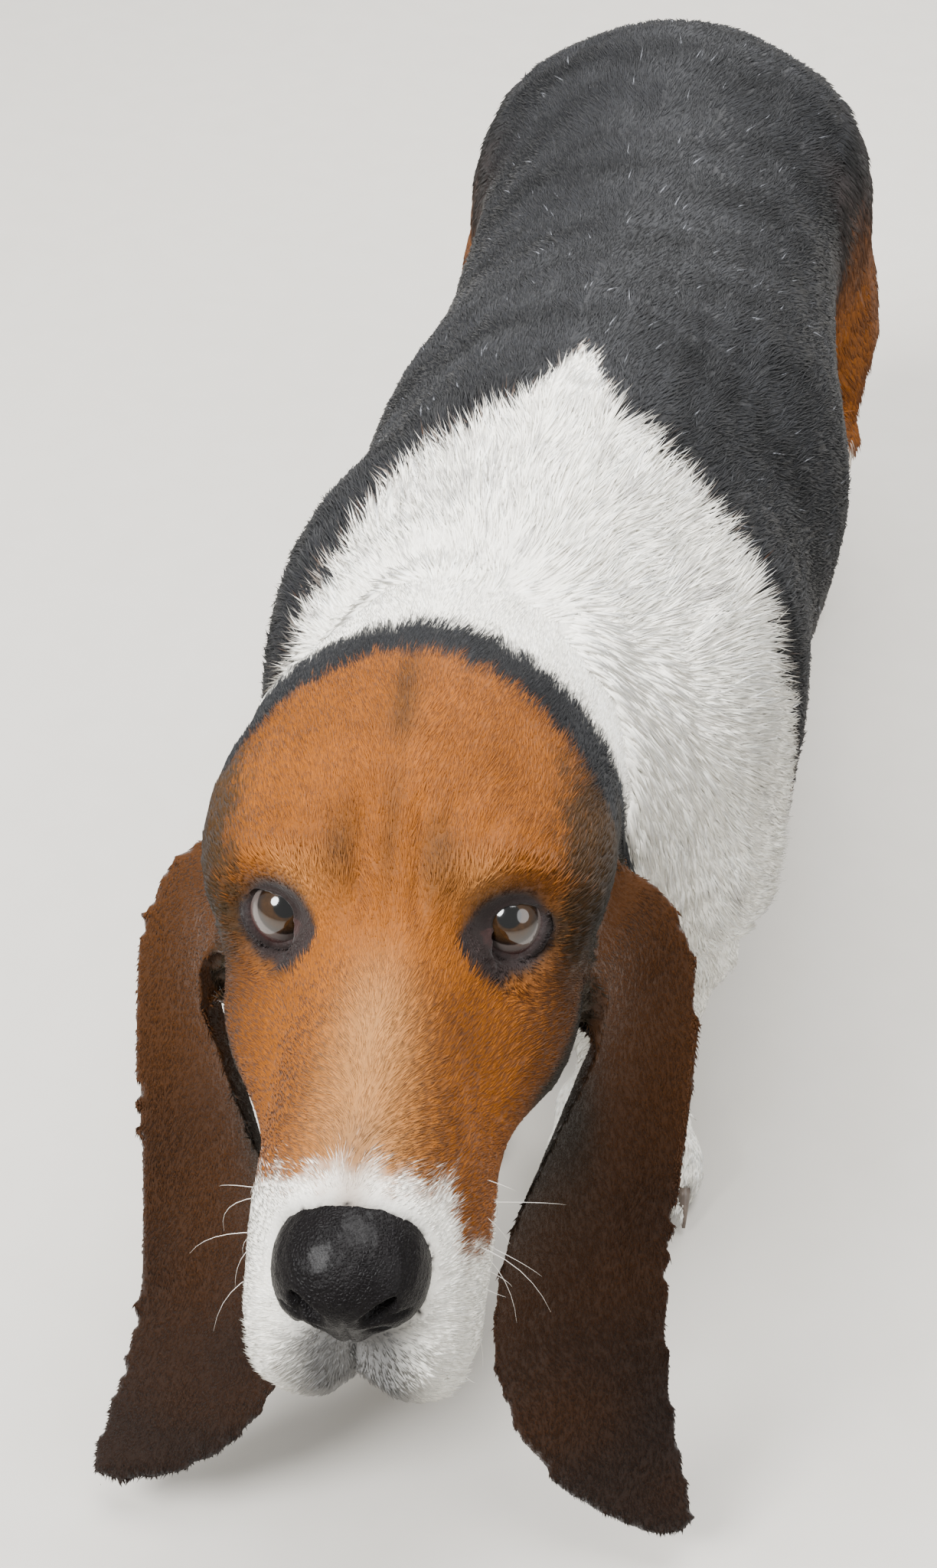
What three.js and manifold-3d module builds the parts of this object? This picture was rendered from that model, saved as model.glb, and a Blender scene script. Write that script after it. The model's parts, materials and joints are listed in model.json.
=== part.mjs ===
// A basset hound, life size, standing with its head low and its muzzle turned a little to its left.
// Millimetres, +Z up, the nose towards -Y and the dog's left side at +X. Y is 0 at the widest part of the
// ribs while the dog is built, and the group is moved at the end so that its base is centred on the origin.
//
// The trunk, neck and head are one blended form, wrapped with rings along the spine and then parted by thin
// cuts. Legs, paws, ears, eyes, nose and tail are pieces of their own that meet it face to face.

import * as THREE from "three";
import { mergeVertices } from "three/addons/utils/BufferGeometryUtils.js";
import Module from "manifold-3d";

const wasm = await Module();
wasm.setup();

// Driving sizes
const GAP = 0.3;
const WITHERS_HEIGHT = 355;
const BRISKET_HEIGHT = 118;
const RIB_HALF_WIDTH = 101;
const RIB_LENGTH = 370;
const CROUP_Y = 366;
const HAUNCH_X = 59;
const SPINE_SWAY = 9;
const ELBOW = new THREE.Vector3(67, -14, 150);
const KNEE = new THREE.Vector3(74, 322, 146);
const HOCK = new THREE.Vector3(66, 424, 92);
const FORE_WRIST = new THREE.Vector3(48, -38, 58);
const FORE_PAW = new THREE.Vector3(49, -66, 0);
const HIND_PAW = new THREE.Vector3(70, 388, 0);

// The head has its own frame: its origin lies midway between the eyes, -Y runs to the nose and +Z is up.
const HEAD_AT = new THREE.Vector3(-10, -240, 300);
const HEAD_YAW = THREE.MathUtils.degToRad(6);
const HEAD_PITCH = THREE.MathUtils.degToRad(10);
const HEAD_ROLL = THREE.MathUtils.degToRad(-2);
const EYE_APART = 78;
const EYE_RADIUS = 12.5;
const MUZZLE_AHEAD = 111;
const NOSE_HALF_WIDTH = 23;
const SKULL_HALF_WIDTH = 64;

const at = (x, y, z) => new THREE.Vector3(x, y, z);
const head = (x, ahead, up) => at(x, -ahead, up);
const headMatrix = new THREE.Matrix4()
  .makeRotationZ(HEAD_YAW)
  .multiply(new THREE.Matrix4().makeRotationX(HEAD_PITCH))
  .multiply(new THREE.Matrix4().makeRotationY(HEAD_ROLL))
  .setPosition(HEAD_AT);
const headInverse = headMatrix.clone().invert();
const fromHead = (x, ahead, up) => head(x, ahead, up).applyMatrix4(headMatrix);

// Forms. Each gives a value in millimetres that is below zero inside the form and grows outwards.
function ball(p, centre, radii) {
  const x = p.x - centre.x;
  const y = p.y - centre.y;
  const z = p.z - centre.z;
  const near = Math.hypot(x / radii.x, y / radii.y, z / radii.z);
  const slope = Math.hypot(x / radii.x ** 2, y / radii.y ** 2, z / radii.z ** 2);
  return slope < 1e-9 ? -Math.min(radii.x, radii.y, radii.z) : (near * (near - 1)) / slope;
}

function limb(p, from, to, fromRadius, toRadius) {
  const along = to.clone().sub(from);
  const share = THREE.MathUtils.clamp(p.clone().sub(from).dot(along) / along.lengthSq(), 0, 1);
  const nearest = from.clone().addScaledVector(along, share);
  return p.distanceTo(nearest) - THREE.MathUtils.lerp(fromRadius, toRadius, share);
}

function blend(a, b, reach) {
  const near = Math.max(reach - Math.abs(a - b), 0) / reach;
  return Math.min(a, b) - (near * near * reach) / 4;
}

const mirrored = (p) => at(Math.abs(p.x), p.y, p.z);

// Trunk: rib cage, loin, pelvis, breast, shoulders with the upper arms, and haunches down to the knees.
function trunk(point) {
  const sway = SPINE_SWAY * Math.exp(-(((point.y - 130) / 110) ** 2));
  const p = mirrored(at(point.x - sway, point.y, point.z));
  const ribMiddle = (WITHERS_HEIGHT + BRISKET_HEIGHT) / 2;
  const ribs = ball(
    p,
    at(0, 26, ribMiddle),
    at(RIB_HALF_WIDTH, RIB_LENGTH / 2, (WITHERS_HEIGHT - BRISKET_HEIGHT) / 2),
  );
  const loin = limb(at(p.x * 0.88, p.y, p.z), at(0, 110, 252), at(0, 340, 258), 84, 79);
  const pelvis = ball(p, at(0, CROUP_Y, 258), at(88, 86, 79));
  const breast = ball(p, at(0, -78, 214), at(76, 70, 88));
  const prow = ball(p, at(0, -132, 190), at(30, 34, 40));
  const withers = ball(p, at(0, 4, 318), at(42, 80, 36));
  const shoulder = ball(p, at(68, -44, 236), at(34, 66, 84));
  const upperArm = limb(p, at(69, -84, 196), ELBOW, 34, 30);
  const haunch = ball(p, at(HAUNCH_X, CROUP_Y, 226), at(43, 78, 88));
  const thigh = limb(p, at(68, 362, 190), KNEE, 48, 36);
  const barrel = blend(blend(ribs, loin, 44), pelvis, 44);
  const front = blend(blend(breast, prow, 30), withers, 30);
  const arms = blend(shoulder, upperArm, 24);
  return blend(blend(blend(barrel, front, 40), arms, 26), blend(haunch, thigh, 24), 22);
}

// Neck and dewlap, from the back of the skull to the shoulders.
function neck(p) {
  const column = limb(p, at(-7, -156, 282), at(0, -52, 260), 60, 82);
  const nape = limb(p, at(-7, -130, 308), at(0, -30, 311), 30, 36);
  const dewlap = ball(p, at(-6, -176, 226), at(22, 62, 32));
  return blend(blend(column, nape, 30), dewlap, 28);
}

// Head, in its own frame.
function skull(world) {
  const p = mirrored(world.clone().applyMatrix4(headInverse));
  const cranium = ball(p, head(0, -56, -6), at(SKULL_HALF_WIDTH, 74, 51));
  const occiput = ball(p, head(0, -116, 16), at(20, 20, 17));
  const brow = ball(p, head(29, -15, 20), at(19, 16, 11));
  const temple = ball(p, head(50, -34, -6), at(18, 34, 26));
  const cheek = ball(p, head(38, -10, -39), at(23, 48, 32));
  const underEye = ball(p, head(32, 20, -29), at(15, 34, 17));
  const bridge = limb(p, head(0, 6, -8), head(0, 102, -12), 27, 25);
  const muzzle = limb(p, head(0, 8, -20), head(0, 92, -20), 34, 29);
  const flew = ball(p, head(24, 82, -40), at(14.5, 50, 31));
  const frontLip = ball(p, head(15, 115, -47), at(19, 20, 25));
  const jaw = limb(p, head(0, -26, -46), head(0, 100, -52), 27, 13);
  const crown = blend(blend(cranium, occiput, 16), brow, 14);
  const face = blend(blend(crown, temple, 14), blend(cheek, underEye, 16), 14);
  const snout = blend(blend(bridge, muzzle, 12), blend(flew, frontLip, 10), 9);
  return blend(blend(face, snout, 16), jaw, 9);
}

const hound = (p) => blend(blend(trunk(p), neck(p), 44), skull(p), 16);

// A closed surface from a sphere's grid, with each vertex moved to where place(round, along) puts it.
function shaped(around, along, place) {
  const sphere = new THREE.SphereGeometry(1, around, along);
  const uv = sphere.attributes.uv;
  const position = sphere.attributes.position;
  for (let i = 0; i < position.count; i++) {
    const spot = THREE.MathUtils.clamp(1 - uv.getY(i), 0, 1);
    const pole = spot < 1e-6 || spot > 1 - 1e-6;
    const point = place(pole ? 0 : uv.getX(i) % 1, spot);
    position.setXYZ(i, point.x, point.y, point.z);
  }
  return solid(sphere);
}

// A manifold-3d solid from a three.js geometry, with its faces pointing out.
function solid(geometry) {
  const bare = geometry.clone();
  bare.deleteAttribute("normal");
  bare.deleteAttribute("uv");
  const merged = mergeVertices(bare, 1e-4);
  const vertProperties = new Float32Array(merged.attributes.position.array);
  const build = (triVerts) => new wasm.Manifold(new wasm.Mesh({ numProp: 3, vertProperties, triVerts }));
  const corners = [];
  const index = merged.index.array;
  for (let i = 0; i < index.length; i += 3) {
    const [a, b, c] = [index[i], index[i + 1], index[i + 2]];
    if (a !== b && b !== c && a !== c) corners.push(a, b, c);
  }
  const made = build(new Uint32Array(corners));
  return made.volume() > 0 ? made : build(new Uint32Array(corners.reverse()));
}

// The first place where a ray from inside a form leaves it, at most `reach` away.
function leaves(form, from, direction, reach, level = 0) {
  const value = (r) => form(from.clone().addScaledVector(direction, r)) - level;
  const step = 4;
  let near = 0;
  while (near < reach && value(near + step) < 0) near += step;
  let far = Math.min(near + step, reach);
  for (let i = 0; i < 18; i++) {
    const middle = (near + far) / 2;
    if (value(middle) < 0) near = middle;
    else far = middle;
  }
  return from.clone().addScaledVector(direction, far);
}

// Wraps a form with rings round a line through it, closed by a round cap of rays at each end.
// `pace` spreads the rings along the line, and `caps` is each cap's share of the rings.
function wrap(form, line, around, along, { reach = 400, caps = [0.1, 0.1], pace = (s) => s, level = 0 } = {}) {
  return shaped(around, along, (round, spot) => {
    const inCap = spot < caps[0] ? "start" : spot > 1 - caps[1] ? "end" : "none";
    const share = THREE.MathUtils.clamp((spot - caps[0]) / (1 - caps[0] - caps[1]), 0, 1);
    const s = pace(share);
    const centre = line.getPointAt(s);
    const tangent = line.getTangentAt(s);
    const side = at(1, 0, 0).addScaledVector(tangent, -tangent.x).normalize();
    const rise = new THREE.Vector3().crossVectors(side, tangent);
    const turn = 2 * Math.PI * round;
    const out = side.multiplyScalar(Math.cos(turn)).addScaledVector(rise, Math.sin(turn));
    const lean = { start: spot / caps[0], end: (1 - spot) / caps[1], none: 1 }[inCap] * (Math.PI / 2);
    const forward = inCap === "start" ? -1 : 1;
    const direction = out.multiplyScalar(Math.sin(lean)).addScaledVector(tangent, forward * Math.cos(lean));
    return leaves(form, centre, direction, reach, level);
  });
}

// Joining, cutting and keeping.
const largest = (made) => made.decompose().reduce((a, b) => (a.volume() > b.volume() ? a : b));

function egg(centre, radii, around = 24, along = 16) {
  const form = new THREE.SphereGeometry(1, around, along);
  return solid(form.scale(radii.x, radii.y, radii.z).translate(centre.x, centre.y, centre.z));
}

// A thin slab that parts two pieces, through `point` and square to `normal`.
function slab(point, normal, size = 400) {
  const plate = new THREE.BoxGeometry(size, size, GAP);
  const turn = new THREE.Quaternion().setFromUnitVectors(at(0, 0, 1), normal.clone().normalize());
  return solid(plate.applyQuaternion(turn).translate(point.x, point.y, point.z));
}

const middleY = (made) => {
  const box = made.boundingBox();
  return (box.min[1] + box.max[1]) / 2;
};

// Spine from the croup to the muzzle. The rings lie closest on the head.
const spine = new THREE.CatmullRomCurve3([
  at(0, 392, 256),
  at(0, 250, 252),
  at(0, 90, 242),
  at(0, -50, 244),
  at(-6, -140, 268),
  fromHead(0, -50, -14),
  fromHead(0, 20, -18),
  fromHead(0, MUZZLE_AHEAD - 16, -22),
]);
const HEAD_SHARE = 0.72;
const HEAD_RINGS = 0.52;
const spinePace = (s) =>
  s < 1 - HEAD_RINGS
    ? (s / (1 - HEAD_RINGS)) * HEAD_SHARE
    : HEAD_SHARE + ((s - 1 + HEAD_RINGS) / HEAD_RINGS) * (1 - HEAD_SHARE);
const wholeTrunk = (level) =>
  wrap(hound, spine, 36, 56, { reach: 260, caps: [0.09, 0.1], pace: spinePace, level });
const body = wholeTrunk(0);
const bodyGrown = wholeTrunk(1.6 * GAP);

const neckFront = { point: at(-9, -158, 290), normal: at(0, 0.86, -0.5) };
const neckBack = { point: at(0, -84, 280), normal: at(0, 0.8, -0.6) };
const [headBlank, neckBlank, torsoBlank] = body
  .subtract(slab(neckFront.point, neckFront.normal))
  .subtract(slab(neckBack.point, neckBack.normal))
  .decompose()
  .sort((a, b) => b.volume() - a.volume())
  .slice(0, 3)
  .sort((a, b) => middleY(a) - middleY(b));

// Shoulders and haunches are lifted out of the trunk by a rounded cut.
const upperLegs = {
  shoulder: { centre: at(98, -62, 214), radii: at(52, 76, 106) },
  haunch: { centre: at(100, 366, 208), radii: at(58, 92, 112) },
};
const nodes = {};
let torso = torsoBlank;
for (const [name, { centre, radii }] of Object.entries(upperLegs)) {
  for (const [side, sign] of [["left", 1], ["right", -1]]) {
    const middle = at(sign * centre.x, centre.y, centre.z);
    const cutter = egg(middle, radii, 20, 14);
    const grown = egg(middle, radii.clone().addScalar(GAP * 1.5), 20, 14);
    nodes[`${name}_${side}`] = largest(torsoBlank.intersect(cutter));
    torso = torso.subtract(grown);
  }
}
nodes.torso = largest(torso);
nodes.neck = neckBlank;

// Forelegs are short, heavy and bent in at the wrist. Hind legs run back from the knee to the hock.
function foreleg(point) {
  const p = mirrored(point);
  const arm = limb(p, ELBOW, at(62, -28, 104), 31, 27);
  const wrist = limb(p, at(62, -28, 104), FORE_WRIST, 27, 25);
  const pastern = limb(p, FORE_WRIST, at(FORE_PAW.x, FORE_PAW.y + 14, 26), 25, 27);
  return blend(blend(arm, wrist, 12), pastern, 12);
}

function hindleg(point) {
  const p = mirrored(point);
  const shank = limb(p, KNEE, HOCK, 40, 21);
  const calf = limb(p, at(74, 372, 150), at(72, 416, 106), 34, 20);
  const rear = limb(p, HOCK, at(HIND_PAW.x, HIND_PAW.y + 30, 30), 20, 23);
  const hockPoint = ball(p, at(70, 446, 100), at(13, 13, 16));
  return blend(blend(blend(shank, calf, 16), rear, 12), hockPoint, 10);
}

const legLines = {
  foreleg: [ELBOW, at(62, -28, 104), FORE_WRIST, at(FORE_PAW.x, FORE_PAW.y + 16, 30)],
  hindleg: [KNEE, at(74, 390, 116), HOCK.clone().setZ(84), at(HIND_PAW.x, HIND_PAW.y + 32, 34)],
};

// A paw stands on flats at the floor: a broad pad and four arched toes, each with a blunt claw.
const PAWS = {
  forepaw: { spot: FORE_PAW, halfWidth: 37, halfLength: 42, height: 44, splay: 10 },
  hindpaw: { spot: HIND_PAW, halfWidth: 33, halfLength: 42, height: 38, splay: 6 },
};
const TOES = [-1.5, -0.5, 0.5, 1.5];
const CLAW = { radius: 3.6, length: 17, dip: 0.6 };

function toeSpot(paw, toe) {
  const ahead = paw.halfLength * (0.72 - 0.14 * Math.abs(toe) ** 1.5);
  return at(toe * paw.halfWidth * 0.47, -ahead, paw.height * 0.34);
}

function pawForm(paw, p) {
  const padRadii = at(paw.halfWidth * 0.86, paw.halfLength * 0.8, paw.height * 0.58);
  const pad = ball(p, at(0, 6, paw.height * 0.42), padRadii);
  const toes = TOES.map((toe) =>
    ball(p, toeSpot(paw, toe), at(paw.halfWidth * 0.29, paw.halfLength * 0.42, paw.height * 0.42)),
  );
  return blend(pad, toes.reduce((a, b) => blend(a, b, 3)), 8);
}

const FLOOR = solid(new THREE.BoxGeometry(600, 1600, 60).translate(0, 0, -30));

function placedPaw(paw, sign) {
  const heel = at(0, 22, paw.height * 0.4);
  const front = at(0, -paw.halfLength * 0.52, paw.height * 0.34);
  const line = new THREE.LineCurve3(heel, front);
  let made = wrap((p) => pawForm(paw, p), line, 22, 12, { reach: 80, caps: [0.26, 0.3] });
  for (const toe of TOES) {
    const spot = toeSpot(paw, toe);
    const claw = new THREE.ConeGeometry(CLAW.radius, CLAW.length, 5)
      .rotateX(Math.PI + CLAW.dip)
      .translate(spot.x, spot.y - paw.halfLength * 0.42 - 2, paw.height * 0.26);
    made = made.add(solid(claw));
  }
  return made
    .rotate([0, 0, sign * paw.splay])
    .translate([sign * paw.spot.x, paw.spot.y, paw.spot.z])
    .subtract(FLOOR);
}

for (const [side, sign] of [["left", 1], ["right", -1]]) {
  const legs = [["foreleg", foreleg, "forepaw"], ["hindleg", hindleg, "hindpaw"]];
  for (const [legName, form, pawName] of legs) {
    const points = legLines[legName].map((p) => at(sign * p.x, p.y, p.z));
    const line = new THREE.CatmullRomCurve3(points);
    const options = { reach: 70, caps: [0.16, 0.16] };
    const paw = placedPaw(PAWS[pawName], sign);
    const leg = wrap(form, line, 14, 12, options);
    const legGrown = wrap(form, line, 14, 12, { ...options, level: GAP });
    nodes[`${legName}_${side}`] = largest(leg.subtract(bodyGrown));
    nodes[`${pawName}_${side}`] = largest(paw.subtract(legGrown));
  }
}

// Tail, hanging from the croup and curving back a little at its tip.
const tailLine = new THREE.CatmullRomCurve3([
  at(0, 420, 292),
  at(0, 462, 282),
  at(2, 492, 244),
  at(6, 504, 190),
  at(8, 512, 134),
  at(10, 532, 84),
]);
const tail = shaped(12, 16, (round, spot) => {
  const s = THREE.MathUtils.clamp(spot, 0, 1);
  const centre = tailLine.getPointAt(s);
  const tangent = tailLine.getTangentAt(s);
  const side = at(1, 0, 0).addScaledVector(tangent, -tangent.x).normalize();
  const rise = new THREE.Vector3().crossVectors(side, tangent);
  const radius = 19 * Math.sqrt(Math.max(0, 1 - s ** 1.3)) * Math.min(1, Math.sqrt(s * 14));
  const turn = 2 * Math.PI * round;
  return centre.addScaledVector(side, radius * Math.cos(turn)).addScaledVector(rise, radius * Math.sin(turn));
});
nodes.tail = largest(tail.subtract(bodyGrown));

// Nose pad, with its two comma-shaped nostrils, set in the end of the muzzle.
const NOSE_AT = head(0, MUZZLE_AHEAD + 4, -5);
function noseForm(world) {
  const p = mirrored(world);
  const pad = ball(p, at(0, NOSE_AT.y + 5, NOSE_AT.z), at(NOSE_HALF_WIDTH - 3, 24, 17));
  const wing = ball(p, at(12, NOSE_AT.y + 1, NOSE_AT.z - 5), at(11, 16, 15));
  const septum = ball(p, at(0, NOSE_AT.y - 6, NOSE_AT.z - 15), at(8, 10, 12));
  return blend(blend(pad, wing, 8), septum, 6);
}
const noseLine = new THREE.LineCurve3(
  at(0, NOSE_AT.y + 6, NOSE_AT.z),
  at(0, NOSE_AT.y - 3, NOSE_AT.z - 2),
);
const noseShape = (level) =>
  wrap(noseForm, noseLine, 18, 12, { reach: 60, caps: [0.36, 0.46], level }).transform(headMatrix.elements);
let nose = noseShape(0);
for (const sign of [-1, 1]) {
  const bore = egg(head(sign * 9.5, MUZZLE_AHEAD + 21, -13), at(4.2, 8, 4), 10, 6);
  const slit = egg(head(sign * 15, MUZZLE_AHEAD + 16, -16), at(6.5, 8, 2), 10, 6);
  nose = nose.subtract(bore.add(slit).transform(headMatrix.elements));
}
nodes.nose = largest(nose);

// Head: the blank takes the lids, which wrap each eyeball and leave an almond opening, and a seat for the nose.
const LID_THICKNESS = 2.6;
const LID_OPENING = { width: 25, height: 22 };
function almond({ width, height }) {
  const shape = new THREE.Shape();
  shape.moveTo(-width / 2, 0);
  shape.quadraticCurveTo(-width * 0.3, height * 0.62, 0, height / 2);
  shape.quadraticCurveTo(width * 0.36, height * 0.34, width / 2, -1);
  shape.quadraticCurveTo(width * 0.3, -height * 0.62, 0, -height / 2);
  shape.quadraticCurveTo(-width * 0.34, -height * 0.4, -width / 2, 0);
  return new THREE.ExtrudeGeometry(shape, { depth: 30, bevelEnabled: false, curveSegments: 4 });
}
const EYE_AT = head(EYE_APART / 2 - 3, -8, -2);
const GAZE = head(0.3, 0.82, 0.42).normalize();
const lidSpace = {};
let headSolid = headBlank.subtract(noseShape(GAP));
for (const [side, sign] of [["left", 1], ["right", -1]]) {
  const eyeAt = at(sign * EYE_AT.x, EYE_AT.y, EYE_AT.z);
  const outward = at(sign * GAZE.x, GAZE.y, GAZE.z);
  const level = at(0, 0, 1).addScaledVector(outward, -outward.z).normalize();
  const across = new THREE.Vector3().crossVectors(level, outward);
  const facing = new THREE.Matrix4().makeBasis(across, level, outward).setPosition(eyeAt);
  const opening = almond(LID_OPENING).scale(-sign, 1, 1).applyMatrix4(facing);
  const round = (radius) => egg(eyeAt, at(radius, radius, radius), 16, 10).transform(headMatrix.elements);
  lidSpace[side] = round(EYE_RADIUS + LID_THICKNESS + GAP);
  headSolid = headSolid
    .add(round(EYE_RADIUS + LID_THICKNESS))
    .subtract(solid(opening).transform(headMatrix.elements))
    .subtract(round(EYE_RADIUS + GAP));
  nodes[`eye_${side}`] = round(EYE_RADIUS);
}

// The mouth is shut: a thin slot from below parts the hanging upper lips from the lower jaw.
const LIP_SLOT = 2;
const slotBand = (inset) => [
  [19 - inset, -8],
  [18 - inset, 40],
  [17 - inset, 90],
  [12 - inset * 0.7, 110 - inset * 0.7],
  [0, 117 - inset],
];
const slotShape = new THREE.Shape();
const outer = slotBand(0);
const inner = slotBand(LIP_SLOT);
const ring = [
  ...outer,
  ...outer.slice(0, -1).reverse().map(([x, y]) => [-x, y]),
  ...inner.slice(0, -1).map(([x, y]) => [-x, y]),
  ...[...inner].reverse(),
];
slotShape.setFromPoints(ring.map(([x, y]) => new THREE.Vector2(x, -y)));
const lipSlot = new THREE.ExtrudeGeometry(slotShape, { depth: 40, bevelEnabled: false }).translate(0, 0, -88);
headSolid = headSolid.subtract(solid(lipSlot).transform(headMatrix.elements));
nodes.head = largest(headSolid);

// Ears: long soft leaves hung low on the skull. Each is drawn between its front edge and its rear edge,
// hollow towards the cheek, and turned inwards at the lower end.
const EAR_THICKNESS = 6;
const EAR_CUP = 0.2;
const EAR_SPREAD = { left: at(6, 0, 0), right: at(15, 3, 0) };
const earEdges = {
  front: [
    at(52, 16, 286), at(66, 12, 268), at(66, 8, 242), at(50, -6, 200),
    at(36, -14, 160), at(31, -20, 112), at(37, -26, 76), at(56, -34, 44), at(94, -40, 20),
  ],
  rear: [
    at(52, 68, 282), at(80, 64, 272), at(96, 56, 248), at(101, 42, 208),
    at(98, 24, 168), at(95, 8, 122), at(97, -6, 78), at(104, -22, 42), at(111, -34, 20),
  ],
};
function ear(side) {
  const spread = ({ x, y, z }) => at(x, y, z).addScaledVector(EAR_SPREAD[side], ((286 - z) / 266) ** 2);
  const front = new THREE.CatmullRomCurve3(earEdges.front.map(spread));
  const rear = new THREE.CatmullRomCurve3(earEdges.rear.map(spread));
  const leaf = shaped(18, 24, (round, s) => {
    const f = front.getPoint(s);
    const r = rear.getPoint(s);
    const chord = r.clone().sub(f);
    const down = front.getTangent(s).add(rear.getTangent(s)).normalize();
    const outward = new THREE.Vector3().crossVectors(chord, down).normalize();
    const turn = 2 * Math.PI * round;
    const closing = Math.sqrt(Math.max(0, 1 - (2 * s - 1) ** 20));
    const across = Math.cos(turn) * closing;
    const thick = (EAR_THICKNESS / 2) * Math.sin(turn) * closing;
    const cup = EAR_CUP * chord.length() * (1 - across ** 2) * Math.sin(Math.PI * Math.min(1, s * 1.1 + 0.1));
    return f.add(r).multiplyScalar(0.5)
      .addScaledVector(chord, across / 2)
      .addScaledVector(outward, cup + thick);
  });
  const turned = side === "left" ? leaf : leaf.mirror([1, 0, 0]);
  return turned.rotate([0, 0, THREE.MathUtils.radToDeg(HEAD_YAW)]).translate([HEAD_AT.x, HEAD_AT.y, 0]);
}
for (const side of ["left", "right"]) {
  nodes[`ear_${side}`] = largest(ear(side).subtract(bodyGrown).subtract(lidSpace[side]));
}

// Colours and finishes.
const coat = (color, roughness = 0.85) => new THREE.MeshStandardMaterial({ color, roughness, metalness: 0 });
const materials = {
  torso: coat(0x3a3b3d),
  neck: coat(0xe8e4da),
  head: coat(0xb06a34),
  tail: coat(0x3a3b3d),
  shoulder: coat(0xe8e4da),
  haunch: coat(0x8a5a30),
  foreleg: coat(0xe8e4da),
  hindleg: coat(0xe8e4da),
  forepaw: coat(0xeae6dc),
  hindpaw: coat(0xeae6dc),
  ear: coat(0x6a3a1c),
  eye: new THREE.MeshStandardMaterial({ color: 0x3a2412, roughness: 0.08, metalness: 0 }),
  nose: coat(0x17171a, 0.4),
};

const dog = new THREE.Group();
for (const [name, made] of Object.entries(nodes)) {
  const mesh = made.getMesh();
  const points = new Float32Array(mesh.numVert * 3);
  for (let i = 0; i < mesh.numVert; i++) {
    points.set(mesh.vertProperties.subarray(i * mesh.numProp, i * mesh.numProp + 3), i * 3);
  }
  const geometry = new THREE.BufferGeometry()
    .setAttribute("position", new THREE.BufferAttribute(points, 3))
    .setIndex(new THREE.BufferAttribute(new Uint32Array(mesh.triVerts), 1));
  geometry.computeVertexNormals();
  const piece = new THREE.Mesh(geometry, materials[name.split("_")[0]]);
  piece.name = name;
  dog.add(piece);
}

// The origin lies under the middle of the hound's box, at the floor.
const box = new THREE.Box3().setFromObject(dog);
const base = new THREE.Group();
dog.position.set(-(box.min.x + box.max.x) / 2, -(box.min.y + box.max.y) / 2, -box.min.z);
base.add(dog);

export default base;
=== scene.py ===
# A basset hound, life size: a still model of a standing dog with its head low and its eyes turned up.
# Metres, +Z up, the nose towards -Y and the dog's left side at +X, as in the frame.
# Skin first, then what is set in it (eyes, nose, claws, whiskers), then the coat, and last the studio.

import math
import bpy
import json
import numpy as np
from mathutils import Matrix, Vector, kdtree

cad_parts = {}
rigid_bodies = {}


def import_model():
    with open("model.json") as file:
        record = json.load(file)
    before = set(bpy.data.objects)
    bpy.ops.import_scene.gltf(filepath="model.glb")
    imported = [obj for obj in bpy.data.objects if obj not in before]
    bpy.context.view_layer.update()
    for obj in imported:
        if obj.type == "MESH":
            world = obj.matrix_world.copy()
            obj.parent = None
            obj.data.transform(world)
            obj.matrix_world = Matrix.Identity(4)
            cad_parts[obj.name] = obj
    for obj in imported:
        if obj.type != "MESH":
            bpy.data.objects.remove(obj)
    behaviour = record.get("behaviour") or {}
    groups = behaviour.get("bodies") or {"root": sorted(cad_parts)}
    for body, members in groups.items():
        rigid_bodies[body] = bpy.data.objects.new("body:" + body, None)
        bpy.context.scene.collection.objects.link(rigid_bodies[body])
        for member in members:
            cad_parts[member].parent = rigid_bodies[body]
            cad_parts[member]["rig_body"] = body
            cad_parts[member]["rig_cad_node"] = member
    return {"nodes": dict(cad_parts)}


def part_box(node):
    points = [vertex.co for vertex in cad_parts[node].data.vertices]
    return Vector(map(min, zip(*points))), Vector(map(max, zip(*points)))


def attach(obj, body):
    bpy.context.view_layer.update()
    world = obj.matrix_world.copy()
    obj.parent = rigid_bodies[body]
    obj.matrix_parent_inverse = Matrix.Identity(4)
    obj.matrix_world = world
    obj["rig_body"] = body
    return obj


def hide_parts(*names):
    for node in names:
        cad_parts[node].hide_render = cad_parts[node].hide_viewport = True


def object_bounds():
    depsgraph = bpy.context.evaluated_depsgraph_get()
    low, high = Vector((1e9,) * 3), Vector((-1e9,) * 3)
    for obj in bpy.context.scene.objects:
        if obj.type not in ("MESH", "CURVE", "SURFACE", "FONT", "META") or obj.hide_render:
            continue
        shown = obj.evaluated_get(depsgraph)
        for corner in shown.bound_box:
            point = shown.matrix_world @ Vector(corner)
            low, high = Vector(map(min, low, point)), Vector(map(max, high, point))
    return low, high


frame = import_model()
cad_low, cad_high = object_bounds()

# The skin is one unbroken hide over the trunk, head, ears, legs and tail. It is cast from the solids,
# grown together so that no joint between them shows, smoothed, and sunk by the depth of the coat.
MM = 0.001
SIDES = (("left", 1), ("right", -1))
FLESH = ["head", "neck", "torso", "tail"]
for part in ("ear", "shoulder", "haunch", "foreleg", "forepaw", "hindleg", "hindpaw"):
    FLESH += [f"{part}_{side}" for side, sign in SIDES]
SKIN_CELL = 4.0 * MM
JOINT_LAP = 0.4 * MM

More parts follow.
